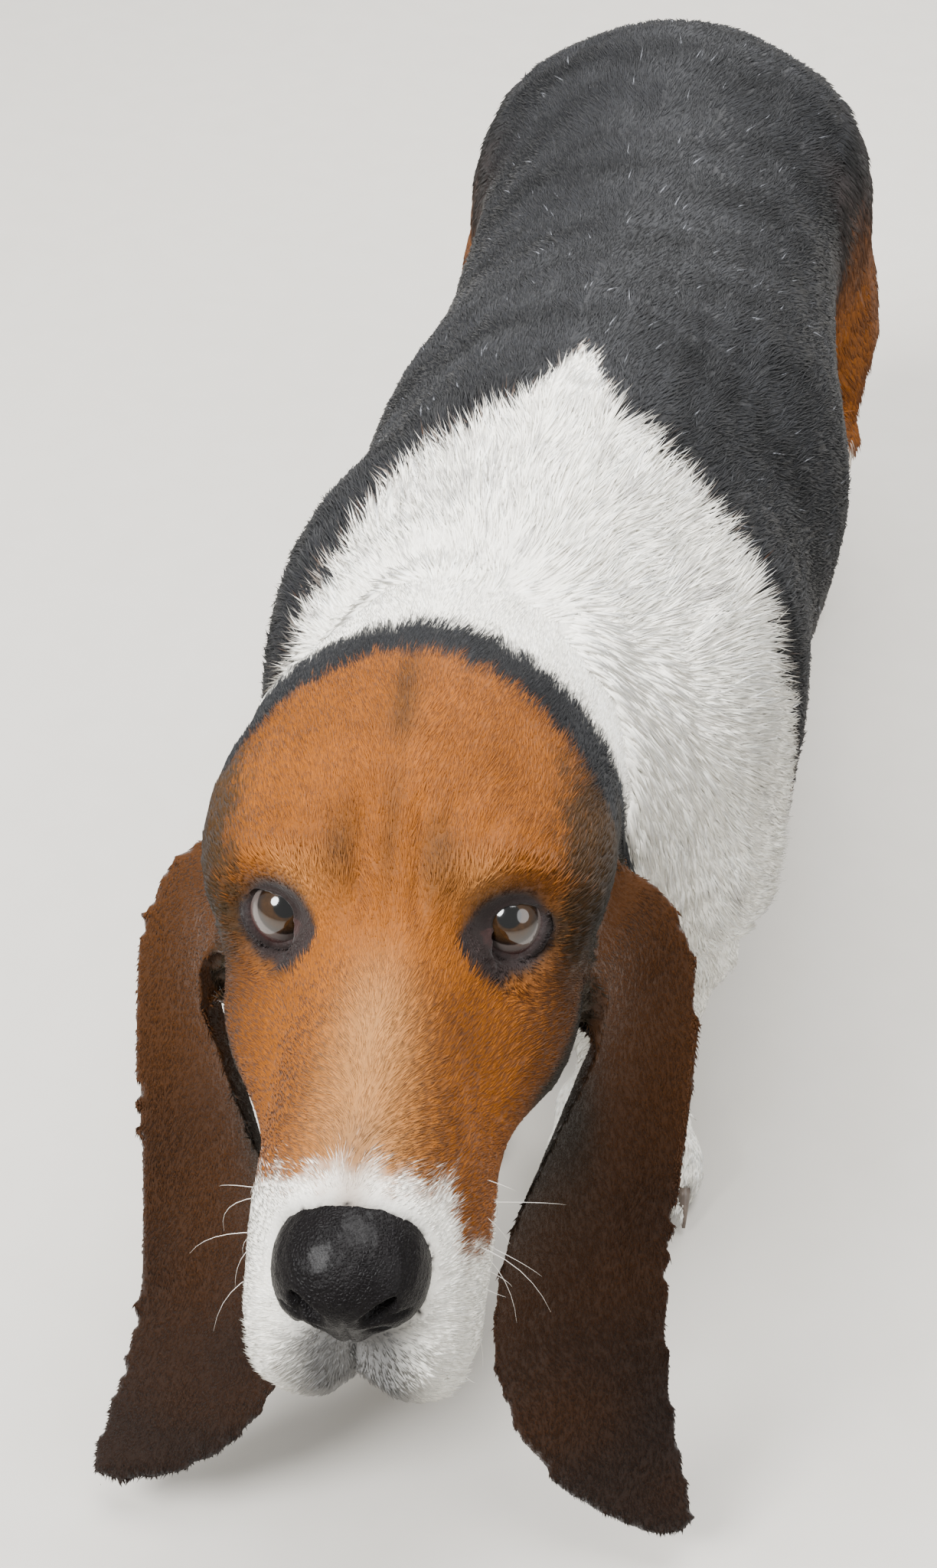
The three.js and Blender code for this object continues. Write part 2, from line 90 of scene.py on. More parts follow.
# The head's own frame: its origin lies between the eyes, -Y runs to the nose and +Z is up.
HEAD_YAW, HEAD_PITCH, HEAD_ROLL = (math.radians(a) for a in (6, 10, -2))
yawed = Matrix.Rotation(HEAD_YAW, 3, "Z")
pitched = Matrix.Rotation(HEAD_PITCH, 3, "X")
rolled = Matrix.Rotation(HEAD_ROLL, 3, "Y")
HEAD_TURN = np.array(yawed @ pitched @ rolled)
EYE_BEHIND, EYE_BELOW = 8 * MM, 2 * MM
EYE_RADIUS = 12.5 * MM
eye_spot = {side: np.array(sum(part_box(f"eye_{side}"), Vector()) / 2) for side, sign in SIDES}
HEAD_AT = (eye_spot["left"] + eye_spot["right"]) / 2 - HEAD_TURN @ np.array((0, EYE_BEHIND, -EYE_BELOW))
# The point on the floor under the widest ribs, from which the marks on the body are measured.
RIBS_AT = HEAD_AT - np.array((-10, -240, 300)) * MM


def to_head(points):
    """Places in the head's frame, in millimetres: across to the left, ahead and up."""
    return (points - HEAD_AT) @ HEAD_TURN / MM * np.array((1, -1, 1))


def from_head(across, ahead, up):
    return HEAD_AT + HEAD_TURN @ np.array((across, -ahead, up)) * MM


def step(x, start, end):
    """0 before start and 1 after end, with a smooth change between."""
    t = np.clip((x - start) / (end - start), 0, 1)
    return t * t * (3 - 2 * t)


def unit(vectors):
    return vectors / np.maximum(np.linalg.norm(vectors, axis=-1, keepdims=True), 1e-9)


def clear_selection():
    bpy.ops.object.select_all(action="DESELECT")


def take(thing):
    clear_selection()
    thing.select_set(True)
    bpy.context.view_layer.objects.active = thing


def corners_of(mesh):
    points = np.empty(len(mesh.vertices) * 3)
    mesh.vertices.foreach_get("co", points)
    return points.reshape(-1, 3)


def move_corners(mesh, points):
    mesh.vertices.foreach_set("co", points.astype(np.float32).ravel())
    mesh.update()


def normals_of(mesh):
    found = np.empty(len(mesh.vertices) * 3)
    mesh.vertex_normals.foreach_get("vector", found)
    return found.reshape(-1, 3)


def cast_of(names, label, lap):
    """One mesh object from copies of the named solids, each grown by lap so that they run together."""
    copies = []
    for name in names:
        copy = frame["nodes"][name].copy()
        copy.data = copy.data.copy()
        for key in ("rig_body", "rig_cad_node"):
            del copy[key]
        copy.parent = None
        bpy.context.collection.objects.link(copy)
        take(copy)
        bpy.ops.object.mode_set(mode="EDIT")
        bpy.ops.mesh.select_all(action="SELECT")
        bpy.ops.mesh.remove_doubles(threshold=0.01 * MM)
        bpy.ops.transform.shrink_fatten(value=lap)
        bpy.ops.object.mode_set(mode="OBJECT")
        copies.append(copy)
    clear_selection()
    for copy in copies:
        copy.select_set(True)
    bpy.context.view_layer.objects.active = copies[0]
    bpy.ops.object.join()
    made = bpy.context.object
    made.name = made.data.name = label
    made.data.materials.clear()
    return made


def links_of(mesh):
    """The two ends of every edge, and how many edges meet at each corner."""
    edges = np.empty(len(mesh.edges) * 2, int)
    mesh.edges.foreach_get("vertices", edges)
    a, b = edges.reshape(-1, 2).T
    return a, b, np.maximum(np.bincount(edges, minlength=len(mesh.vertices)), 1)


def even(values, mesh, rounds):
    """Spreads a value over neighbouring corners."""
    a, b, count = links_of(mesh)
    for turn in range(rounds):
        total = np.bincount(a, values[b], len(values)) + np.bincount(b, values[a], len(values))
        values = 0.5 * values + 0.5 * total / count
    return values


def smooth(mesh, share, rounds, swell=0.53):
    """Evens out the corners. share says how far each corner may follow, and swell undoes the shrinking."""
    points = corners_of(mesh)
    a, b, count = links_of(mesh)
    for turn in range(2 * rounds):
        middle = np.stack(
            [
                np.bincount(a, points[b, k], len(points)) + np.bincount(b, points[a, k], len(points))
                for k in range(3)
            ],
            axis=1,
        )
        pace = 0.5 if turn % 2 == 0 else -swell
        points = points + (middle / count[:, None] - points) * (pace * share)[:, None]
    move_corners(mesh, points)


def divide(thing, wanted):
    """Splits each face whose middle is wanted into four."""
    mesh = thing.data
    middles = np.empty(len(mesh.polygons) * 3)
    mesh.polygons.foreach_get("center", middles)
    take(thing)
    bpy.ops.object.mode_set(mode="EDIT")
    bpy.ops.mesh.select_mode(type="FACE")
    bpy.ops.mesh.select_all(action="DESELECT")
    bpy.ops.object.mode_set(mode="OBJECT")
    mesh.polygons.foreach_set("select", wanted(middles.reshape(-1, 3)))
    bpy.ops.object.mode_set(mode="EDIT")
    bpy.ops.mesh.subdivide(number_cuts=1)
    bpy.ops.object.mode_set(mode="OBJECT")


skin = cast_of(FLESH + ["nose", "eye_left", "eye_right"], "skin", JOINT_LAP)
skin.data.remesh_voxel_size = SKIN_CELL
bpy.ops.object.voxel_remesh()

# Which solid each part of the hide grows over.
PARTS = FLESH + ["nose"]
near = kdtree.KDTree(sum(len(frame["nodes"][n].data.polygons) for n in PARTS))
for index, name in enumerate(PARTS):
    for face in frame["nodes"][name].data.polygons:
        near.insert(face.center, index)
near.balance()


def part_of(points):
    return np.array([near.find(Vector(p))[1] for p in points])


def is_part(found, *kinds):
    wanted = [i for i, name in enumerate(PARTS) if name.split("_")[0] in kinds]
    return np.isin(found, wanted)


parts = part_of(corners_of(skin.data))
smooth(skin.data, np.ones(len(parts)), 5)
smooth(skin.data, np.where(is_part(parts, "ear"), 1.0, 0.0), 12)
smooth(skin.data, np.where(is_part(parts, "torso", "neck", "shoulder", "haunch"), 1.0, 0.0), 22)


def on_face(points):
    across, ahead, up = to_head(points).T
    close = (ahead > -60) & (np.abs(across) < 70) & (up < 60) & (up > -90)
    close[close] = is_part(part_of(points[close]), "head", "nose")
    return close


divide(skin, on_face)

# Lids: the hide turns in over each eyeball round a slack opening, lowest towards its outer side,
# with a crease over the upper lid and a pouch of loose skin under the lower one.
EYE_FACING = (0.21, 0.68, 0.70)
LID_THICKNESS = 1.7 * MM
OPENING_HALF_WIDTH, OPENING_TOP, OPENING_BOTTOM = 10.2, 8.7, 10.8
LOWEST_POINT = 1.2
INNER_SHIFT = -1.9


def lid_axes(sign):
    """Outer side, up and outward of the eye, seen square on."""
    across, ahead, up = EYE_FACING
    outward = HEAD_TURN @ unit(np.array((sign * across, -ahead, up)))
    rise = HEAD_TURN @ np.array((0.0, 0.0, 1.0))
    level = unit(rise - outward * (rise @ outward))
    return np.cross(level, outward) * sign, level, outward


def lid_reach(points, side, sign):
    """Distance outside the lid's edge in millimetres, with the place across and up, and the true radius."""
    outer, level, outward = lid_axes(sign)
    off = points - eye_spot[side]
    radius = np.linalg.norm(off, axis=1)
    facing = off / np.maximum(radius, 1e-9)[:, None]
    front = facing @ outward
    a = facing @ outer * EYE_RADIUS / MM
    b = facing @ level * EYE_RADIUS / MM
    far = np.maximum(radius / EYE_RADIUS, 1.0)
    a, b = a * far - INNER_SHIFT, b * far
    upper = b > 0
    slide = np.where(upper, 0, LOWEST_POINT * np.clip(-b / OPENING_BOTTOM, 0, 1))
    half = np.where(upper, OPENING_TOP, OPENING_BOTTOM)
    power = np.where(upper, 2.1, 1.55)
    size = (np.abs((a - slide) / OPENING_HALF_WIDTH) ** power + np.abs(b / half) ** power) ** (1 / power)
    reach = (size - 1) * np.hypot(a, b) / np.maximum(size, 0.2)
    reach = np.where(front > 0.1, reach, 60.0)
    return reach, a, b, radius


def near_lids(limit):
    def wanted(points):
        found = np.zeros(len(points), bool)
        for side, sign in SIDES:
            reach, a, b, radius = lid_reach(points, side, sign)
            found |= (np.abs(reach) < limit) & (radius < 32 * MM)
        return found

    return wanted


LID_AREA, LID_EDGE = 11, 3
divide(skin, near_lids(LID_AREA))
smooth(skin.data, np.where(on_face(corners_of(skin.data)), 1.0, 0.0), 3)
divide(skin, near_lids(LID_EDGE))

# Coat depth: how far the hide lies inside the outer form of the animal, in millimetres. Under the nose
# it is drawn well back, so that the nostrils have room.
BODY_DEPTH = 2.4
COAT_DEPTHS = {"head": 1.5, "ear": 0.8, "nose": 8.0, "forepaw": 1.6, "hindpaw": 1.6}
points = corners_of(skin.data)
parts = part_of(points)
depth = np.full(len(points), BODY_DEPTH)
for kind, deep in COAT_DEPTHS.items():
    depth[is_part(parts, kind)] = deep
depth += JOINT_LAP / MM
depth = even(depth, skin.data, 4)
inward = normals_of(skin.data) * depth[:, None]
inward = np.stack([even(inward[:, k], skin.data, 2) for k in range(3)], axis=1)
move_corners(skin.data, points - inward * MM)
smooth(skin.data, np.where(is_part(parts, "ear"), 1.0, 0.0), 10)
points = corners_of(skin.data)

# Folds of the face, each a soft furrow or ridge along the skin, in millimetres.
across, ahead, up = to_head(points).T
x = np.abs(across)
on_top = step(up, 0, 14)
furrow = 2.3 * np.exp(-(((x - 9) / 3.2) ** 2)) * step(ahead, -26, -14) * step(-ahead, -16, -2) * on_top
middle = 1.2 * np.exp(-((across / 5) ** 2)) * step(ahead, -60, -40) * step(-ahead, -40, -14) * on_top
brow_ridge = 2.4 * np.exp(-(((ahead - 2 + 0.25 * x) / 5) ** 2)) * np.exp(-(((x - 30) / 16) ** 2)) * on_top
creases = np.sin((x * 0.9 + ahead * 0.45) / 1.9) * 0.42 * on_top
creases *= step(ahead, -34, -16) * step(-ahead, -14, 0) * step(x, 5, 12) * step(-x, -44, -34)
cheek = np.sin((x * 0.8 - ahead * 0.5 - up * 0.35) / 5.5) * 0.45
cheek_place = step(x, 34, 46) * step(-ahead, -30, -5) * step(-up, 0, 16)
lip_edge = np.exp(-((up + 69) ** 2) / 18) * step(ahead, 30, 50) * step(x, 6, 12)
philtrum = 1.6 * np.exp(-((across / 1.3) ** 2)) * step(ahead, 112, 120) * step(-up, 22, 28)
lift = brow_ridge + creases + cheek * cheek_place + 1.2 * lip_edge - furrow - middle - philtrum
under = step(-up, 52, 60) * step(ahead, -4, 10)
mouth_half = np.interp(ahead, [-8, 40, 90, 110], [19, 18, 17, 12])
lift = lift - 2.2 * under * np.exp(-(((x - mouth_half) / 1.8) ** 2)) * (ahead < 116)
lift = np.where(is_part(parts, "head"), lift, 0)
move_corners(skin.data, points)
points = points + normals_of(skin.data) * lift[:, None] * MM

# Slack rings of skin above the feet, and shallow folds along the throat.
body = (points - RIBS_AT) / MM
leg_ring = np.sin(body[:, 2] / 5.2 + 0.05 * body[:, 0] + 0.09 * body[:, 1]) * 1.1
leg_ring *= np.where(is_part(parts, "foreleg", "hindleg"), 1, 0) * step(-body[:, 2], -118, -96)
leg_ring = even(leg_ring, skin.data, 2)
throat = np.sin(body[:, 0] / 4.5 + body[:, 1] / 60) * 1.3 * is_part(parts, "neck")
throat *= step(-body[:, 2], -250, -225) * step(-body[:, 1], 90, 130)
points = points + normals_of(skin.data) * (leg_ring + even(throat, skin.data, 3))[:, None] * MM

# Each lid rises over its eyeball from a thin edge, and the hide inside the opening is drawn in behind it.
SINK_BEHIND_LIDS, LIDS_END, SOCKET_RADIUS = 3.2, 14, 34
for side, sign in SIDES:
    reach, a, b, radius = lid_reach(points, side, sign)
    radius_mm = radius / MM
    eye_mm = EYE_RADIUS / MM
    edge = step(reach, -0.5, 0.7)
    bulge = eye_mm + LID_THICKNESS / MM + 0.5 * step(reach, 0, 3)
    crease = 1.1 * np.exp(-(((reach - 5.2) / 1.3) ** 2)) * step(b, 2, 6)
    pouch = 0.9 * np.exp(-(((reach - 3.4) / 1.0) ** 2)) + 0.9 * np.exp(-(((reach - 7.5) / 1.4) ** 2))
    pouch *= step(-b, 3, 8)
    profile = (eye_mm - SINK_BEHIND_LIDS) * (1 - edge) + (bulge - crease - pouch) * edge
    keep = step(reach, 2.5, 9.5)
    wanted = profile * (1 - keep) + (radius_mm - crease - pouch) * keep
    change = np.where((reach < LIDS_END) & (radius_mm < SOCKET_RADIUS), wanted / np.maximum(radius_mm, 1), 1.0)
    points = eye_spot[side] + (points - eye_spot[side]) * change[:, None]

FLOOR_CLEAR, BOX_CLEAR = 0.3 * MM, 1.2 * MM
points[:, 2] = np.maximum(points[:, 2], FLOOR_CLEAR)
side_clear = BOX_CLEAR * np.array((1, 1, 0))
points = np.clip(points, np.array(cad_low) + side_clear, np.array(cad_high) - BOX_CLEAR)
move_corners(skin.data, points)
parts = part_of(points)
take(skin)
bpy.ops.object.shade_smooth()
bpy.ops.object.mode_set(mode="EDIT")
bpy.ops.mesh.select_all(action="SELECT")
bpy.ops.mesh.quads_convert_to_tris()
bpy.ops.uv.smart_project(angle_limit=math.radians(66), island_margin=0.002)
bpy.ops.object.mode_set(mode="OBJECT")
skin.data.uv_layers[0].name = "OFBake"
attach(skin, "root")
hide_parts(*FLESH)

# Markings of the hide and the coat alike: a black saddle, a tan head with a white muzzle, white neck,
# legs and belly, tan flanks, and long brown ears that darken downwards. Colours are linear light, and the
# places of the marks are in millimetres, from the floor under the ribs or in the head's own frame.
# Besides the marks, the face and ears carry painted shade under the ears, beside the throat, along the
# turned-in ear edges and in the folds between the brows, and a painted highlight on the ridges over the eyes.
WHITE = np.array((0.88, 0.85, 0.77))
TICKING = np.array((0.24, 0.23, 0.23))
BLACK = np.array((0.0065, 0.007, 0.008))
GREY = np.array((0.029, 0.030, 0.033))
TAN = np.array((0.185, 0.056, 0.0045))
PALE_TAN = np.array((0.33, 0.155, 0.048))
DARK_TAN = np.array((0.052, 0.018, 0.003))
OLIVE = np.array((0.020, 0.013, 0.0045))
EAR_TAN = np.array((0.050, 0.0155, 0.0010))
EAR_DARK = np.array((0.010, 0.0035, 0.001))
LEAD = np.array((0.014, 0.011, 0.012))
PAD = np.array((0.035, 0.031, 0.030))
WATERLINE = np.array((0.050, 0.022, 0.020))
DARKEST, PALEST = 0.0008, 0.95
NAPE = -130


def waver(points, size, seed):
    """A smooth, irregular value about -1 to 1 that changes over about size millimetres."""
    draw = np.random.default_rng(seed)
    total = np.zeros(len(points))
    for wave in range(7):
        way = unit(draw.normal(size=3)) * draw.uniform(0.6, 1.9) * 2 * math.pi / size
        total += np.sin(points @ way + draw.uniform(0, 6.3))
    return total / 3.2


def mix(base, top, share):
    return base + (top - base) * np.clip(share, 0, 1)[:, None]


def mouth_line(ahead):
    """How far the mouth's edge lies from the middle of the muzzle."""
    return np.interp(ahead, [-8, 40, 90, 110, 118], [19, 18, 17, 12, 3])


def body_marks(body, found, ragged, slow, fast):
    """White in front, a black saddle behind a wedge over the withers, tan below it, and a white belly."""
    x, y, z = body.T
    fray = ragged + 2.5 * fast
    left = np.interp(z, [200, 230, 256, 295, 321, 341, 364], [-52, -60, -64, -66, -51, -35, -25])
    right = np.interp(z, [200, 230, 295, 322, 342, 363], [-100, -112, -106, -84, -50, -36])
    start = right + (left - right) * step(x, -22, 22)
    start = start + 44 * np.exp(-(((x - 6) / 11) ** 2)) * step(z, 330, 345)
    saddle_depth = y - start + fray * 1.6
    saddle = step(saddle_depth, -3, 3)
    low_edge = np.interp(y, [-60, 60, 220, 300, 420], [212, 196, 205, 262, 268]) + 8 * slow
    low = step(z + 1.2 * fray, low_edge - 16, low_edge + 14)
    tan_end = np.interp(y, [-60, 40, 250, 330, 450], [196, 172, 176, 128, 128]) + 5 * slow
    flank = step(z + fray, tan_end - 7, tan_end + 7) * step(y - start + fray, -6, 4)
    colour = WHITE * (1 + 0.04 * slow[:, None])
    tick = step(waver(body, 20, 11) + 0.35 * fast, 0.95, 1.35)
    colour = mix(colour, TICKING, 0.55 * tick)
    patch = np.exp(-(((x + 22) / 26) ** 2) - ((y + 72) / 20) ** 2) * step(z, 300, 320)
    colour = mix(colour, TICKING, 0.7 * patch * step(fast + ragged / 8, -0.2, 0.9))
    flank_tan = 0.1 + 0.6 * step(low_edge - z, -4, 50) + 0.2 * slow
    colour = mix(colour, mix(DARK_TAN, TAN, flank_tan), flank)
    saddle_colour = mix(BLACK, GREY, 0.30 + 0.22 * slow + 0.1 * fast)
    saddle_colour = mix(saddle_colour, DARK_TAN, 0.25 * (1 - step(z, low_edge, low_edge + 50)))
    colour = mix(colour, saddle_colour, saddle * low)
    on_tail = is_part(found, "tail")
    tail = mix(BLACK, DARK_TAN, step(-z, -230, -150) * 0.6)
    tail = mix(tail, WHITE, step(-z + 1.5 * fray, -150, -138))
    colour = np.where(on_tail[:, None], tail, colour)
    limbs = is_part(found, "foreleg", "forepaw", "hindpaw")
    colour = np.where(limbs[:, None], WHITE * (1 - 0.12 * tick[:, None]), colour)
    sole = is_part(found, "forepaw", "hindpaw") & (z < 5)
    colour = np.where(sole[:, None], PAD, colour)
    return colour


def face_marks(places, found, ragged, slow, fast):
    """A tan cap ending in a black nape band, a white muzzle, dark eye rims, a painted highlight on the ridges
    over the eyes, and painted shade in the folds between the brows, under the ears and beside the throat.
    """
    across, ahead, up = to_head(places).T
    wide = np.abs(across)
    fray = ragged + 2.5 * fast
    cap_end = -81 + (wide / 66) ** 2 * 38
    band_end = -99 + (wide / 70) ** 2 * 31
    front = ahead + 0.6 * fray
    face = TAN * (1 + 0.10 * slow[:, None] + 0.05 * fast[:, None])
    face = mix(face, DARK_TAN, 0.5 * step(-up, 12, 50) * step(-ahead, -10, 30))
    strip = np.exp(-((across / (9 + 0.08 * ahead)) ** 2)) * step(ahead, 8, 50)
    face = mix(face, PALE_TAN, 0.8 * strip)
    # A paler tan over each ridge above the eyes: a painted highlight on the ridge.
    brow_ridge_highlight = np.exp(-(((wide - 30) / 13) ** 2)) * np.exp(-(((ahead - 1) / 6) ** 2)) * step(up, 8, 20)
    face = mix(face, PALE_TAN, 0.35 * brow_ridge_highlight)
    face = mix(face, DARK_TAN, 0.75 * step(wide, 30, 52) * step(-up, -30, 4) * step(-ahead, -60, -10))
    streak = np.exp(-((across / 4.5) ** 2)) * step(ahead, -90, -66) * step(-ahead, 34, 50)
    face = mix(face, OLIVE, 0.6 * streak)
    # Darker over the inner brows and down the middle of the forehead: painted shade in the folds between the
    # brows and in the forehead's middle furrow.
    inner_brow_shade = np.exp(-(((wide - 15) / 6) ** 2)) * np.exp(-(((ahead + 6) / 12) ** 2)) * step(up, 6, 16)
    forehead_furrow_shade = np.exp(-((across / 3.0) ** 2)) * step(ahead, -44, -20) * step(-ahead, -14, 6)
    face = mix(face, OLIVE, 0.55 * inner_brow_shade + 0.35 * forehead_furrow_shade)
    temple = step(wide + 1.2 * fray, 46, 57) * step(front, -62, -44) * step(-ahead, -16, 4)
    temple *= step(up, -34, -8)
    face = mix(face, OLIVE, 0.85 * temple)
    edge = np.interp(up, [-70, -40, -20, 0, 16], [48, 62, 81, 92, 100])
    edge = edge - 6 * np.exp(-((across / 8) ** 2)) * step(up, 0, 10)
    edge = edge + 22 * step(across, 20, 32) * step(-up, 2, 14) * step(up, -44, -30)
    muzzle = step(front + 0.6 * fray, edge - 6, edge + 6)
    face = mix(face, WHITE * 0.93, muzzle)
    ridge = np.exp(-((across / 6.5) ** 2)) * step(ahead, 72, 86) * step(up, -2, 6)
    face = mix(face, (GREY + PALE_TAN) / 2, 0.62 * ridge)
    face = mix(face, GREY, 0.75 * step(ahead, 99, 108) * step(up, -12, 2) * step(-wide, -26, -18))
    lip = step(ahead, 98, 114) * step(-up, 16, 27) * step(-wide, -25, -8)
    face = mix(face, GREY * 2, 0.88 * lip)
    mouth = step(-up, 62, 68) * step(ahead, -4, 20) * np.exp(-(((wide - mouth_line(ahead)) / 3.5) ** 2))
    face = mix(face, LEAD, 0.9 * mouth)
    band = step(-front, -cap_end - 4, -cap_end + 3)
    face = mix(face, BLACK * 1.2, band * step(up, -60, -45))
    face = mix(face, WHITE, step(-front, -band_end - 4, -band_end + 4))
    throat = step(-up, 38, 50) * step(-ahead, -30, 0) * step(-wide, -38, -24)
    face = mix(face, WHITE * 0.95, throat)
    # Dark olive on the side of the head under each ear: a painted shadow cast by the ear.
    under_ear_shadow = step(wide, 36, 44) * step(ahead, -62, -54) * step(-ahead, -4, 14) * step(-up, -4, 12)
    face = mix(face, OLIVE * 0.7, under_ear_shadow * step(up, -120, -90))
    # Dark olive low beside the throat: painted shade in the narrow gap there.
    beside_throat_shadow = step(wide, 34, 44) * step(ahead, -30, 0) * step(-ahead, -50, -34) * step(-up, 26, 36)
    face = mix(face, OLIVE * 0.7, beside_throat_shadow)
    face = np.where(is_part(found, "nose")[:, None], LEAD * 0.5, face)
    for side, sign in SIDES:
        reach, a, b, radius = lid_reach(places, side, sign)
        inner = step(-a, 1, 9)
        width = 3.2 * step(-b, -3, 5) + 4.6 * inner * step(-b, -8, 2) + 0.7 + 0.1 * ragged
        face = mix(face, OLIVE, 0.7 * step(-reach, -width - 6.5, -width + 0.4) * (radius < 30 * MM))
        face = mix(face, LEAD, 0.92 * step(-reach, -width - 3.2, -width + 0.4) * (radius < 30 * MM))
        waterline = 0.5 * step(-reach, -0.9, 0.3) * (radius < 18 * MM) * (b < 0)
        face = mix(face, WATERLINE, waterline)
    return face


def ear_marks(places, height, slow):
    """Brown at the top, darker down to the tip, and painted shade along the edge that turns in to the cheek.
    """
    across, ahead, up = to_head(places).T
    hang = np.clip((275 - height) / 250, 0, 1)
    leather = mix(EAR_TAN, EAR_DARK, hang * 1.15 - 0.1 + 0.12 * slow)
    # Painted shade in the crevice where the ear's edge turns in towards the cheek.
    turned_in_shadow = step(-np.abs(across), -70, -54) * step(ahead, -30, 0)
    return mix(leather, OLIVE * 0.3, 0.9 * turned_in_shadow * step(height, 120, 200))


def markings(places, found, ragged):
    """Colour at each place. found says which solid lies there, and ragged frays the edges of the marks."""
    body = (places - RIBS_AT) / MM
    slow = waver(body, 55, 3)
    fast = waver(body, 11, 5)
    colour = body_marks(body, found, ragged, slow, fast)
    on_head = is_part(found, "head", "nose", "neck") & (to_head(places)[:, 1] > NAPE)
    colour = np.where(on_head[:, None], face_marks(places, found, ragged, slow, fast), colour)
    ear = is_part(found, "ear")
    colour = np.where(ear[:, None], ear_marks(places, body[:, 2], slow), colour)
    return np.clip(colour, DARKEST, PALEST)


def paint(mesh, colours):
    layer = mesh.color_attributes.new("coat_colour", "FLOAT_COLOR", "POINT")
    full = np.ones((len(colours), 4), np.float32)
    full[:, :3] = colours
    layer.data.foreach_set("color", full.ravel())


# The hide under the hair is painted darker than the coat's marks: painted shade in the depth of the coat.
HIDE_PAINTED_SHADE = 0.82
paint(skin.data, markings(corners_of(skin.data), parts, np.zeros(len(parts))) * HIDE_PAINTED_SHADE)


class Number:
    """A socket that carries a number. Arithmetic on it adds the Math nodes."""

    def __init__(self, finish, socket):
        self.finish = finish
        self.socket = socket

    def math(self, operation, first, second):
        settings = {"operation": operation}
        return Number(self.finish, self.finish.node("ShaderNodeMath", settings, {0: first, 1: second}))

    def __add__(self, other):
        return self.math("ADD", self, other)

    def __radd__(self, other):
        return self.math("ADD", other, self)

    def __mul__(self, other):
        return self.math("MULTIPLY", self, other)

    def __rmul__(self, other):
        return self.math("MULTIPLY", other, self)

    def above(self, start, end):
        """0 up to start and 1 from end, with a smooth change."""
        settings = {"interpolation_type": "SMOOTHSTEP"}
        sockets = {"Value": self, "From Min": start, "From Max": end}
        return Number(self.finish, self.finish.node("ShaderNodeMapRange", settings, sockets))


class Finish:
    """A material in the making."""

    def __init__(self, name):
        self.material = bpy.data.materials.new(name)
        self.material.use_nodes = True
        self.tree = self.material.node_tree
        self.shader = self.tree.nodes["Principled BSDF"]

    def node(self, kind, settings, sockets, output=0):
        made = self.tree.nodes.new(kind)
        for key, value in settings.items():
            setattr(made, key, value)
        for key, value in sockets.items():
            self.feed(made.inputs[key], value)
        return made.outputs[output]

    def feed(self, socket, value):
        if isinstance(value, Number):
            value = value.socket
        if isinstance(value, bpy.types.NodeSocket):
            self.tree.links.new(value, socket)
        else:
            socket.default_value = value

    def set(self, **sockets):
        for key, value in sockets.items():
            self.feed(self.shader.inputs[key.replace("_", " ")], value)

    def number(self, kind, settings, sockets, output=0):
        return Number(self, self.node(kind, settings, sockets, output))

    def place(self):
        return self.node("ShaderNodeTexCoord", {}, {}, "Object")

    def noise(self, scale, detail):
        sockets = {"Vector": self.place(), "Scale": scale, "Detail": detail}
        return self.number("ShaderNodeTexNoise", {}, sockets)

    def blend_colour(self, share, first, second):
        made = self.tree.nodes.new("ShaderNodeMix")
        made.data_type = "RGBA"
        self.feed(made.inputs["Factor"], share)
        self.feed(made.inputs[6], first)
        self.feed(made.inputs[7], second)
        return made.outputs[2]

    def bump(self, height, distance):
        sockets = {"Height": height, "Distance": distance, "Strength": 1.0}
        self.set(Normal=self.node("ShaderNodeBump", {}, sockets))

    def on(self, thing):
        thing.data.materials.clear()
        thing.data.materials.append(self.material)


def hair_finish(name, sheen):
    made = Finish(name)
    colour = made.node("ShaderNodeAttribute", {"attribute_name": "coat_colour"}, {}, "Color")
    grain = made.noise(900, 2.0)
    clumps = made.noise(160, 2.0)
    darker = made.blend_colour(0.5, colour, (0.01, 0.008, 0.007, 1))
    made.set(Base_Color=made.blend_colour(grain * 0.35, colour, darker))
    made.set(Roughness=0.5 + 0.18 * clumps)
    made.set(Specular_IOR_Level=0.10, Sheen_Weight=sheen, Sheen_Roughness=0.45)
    return made, grain, clumps


hide, grain, clumps = hair_finish("hide_under_hair", 0.1)
hide.bump(grain * 0.6 + clumps * 0.8, 0.0006)
hide.on(skin)

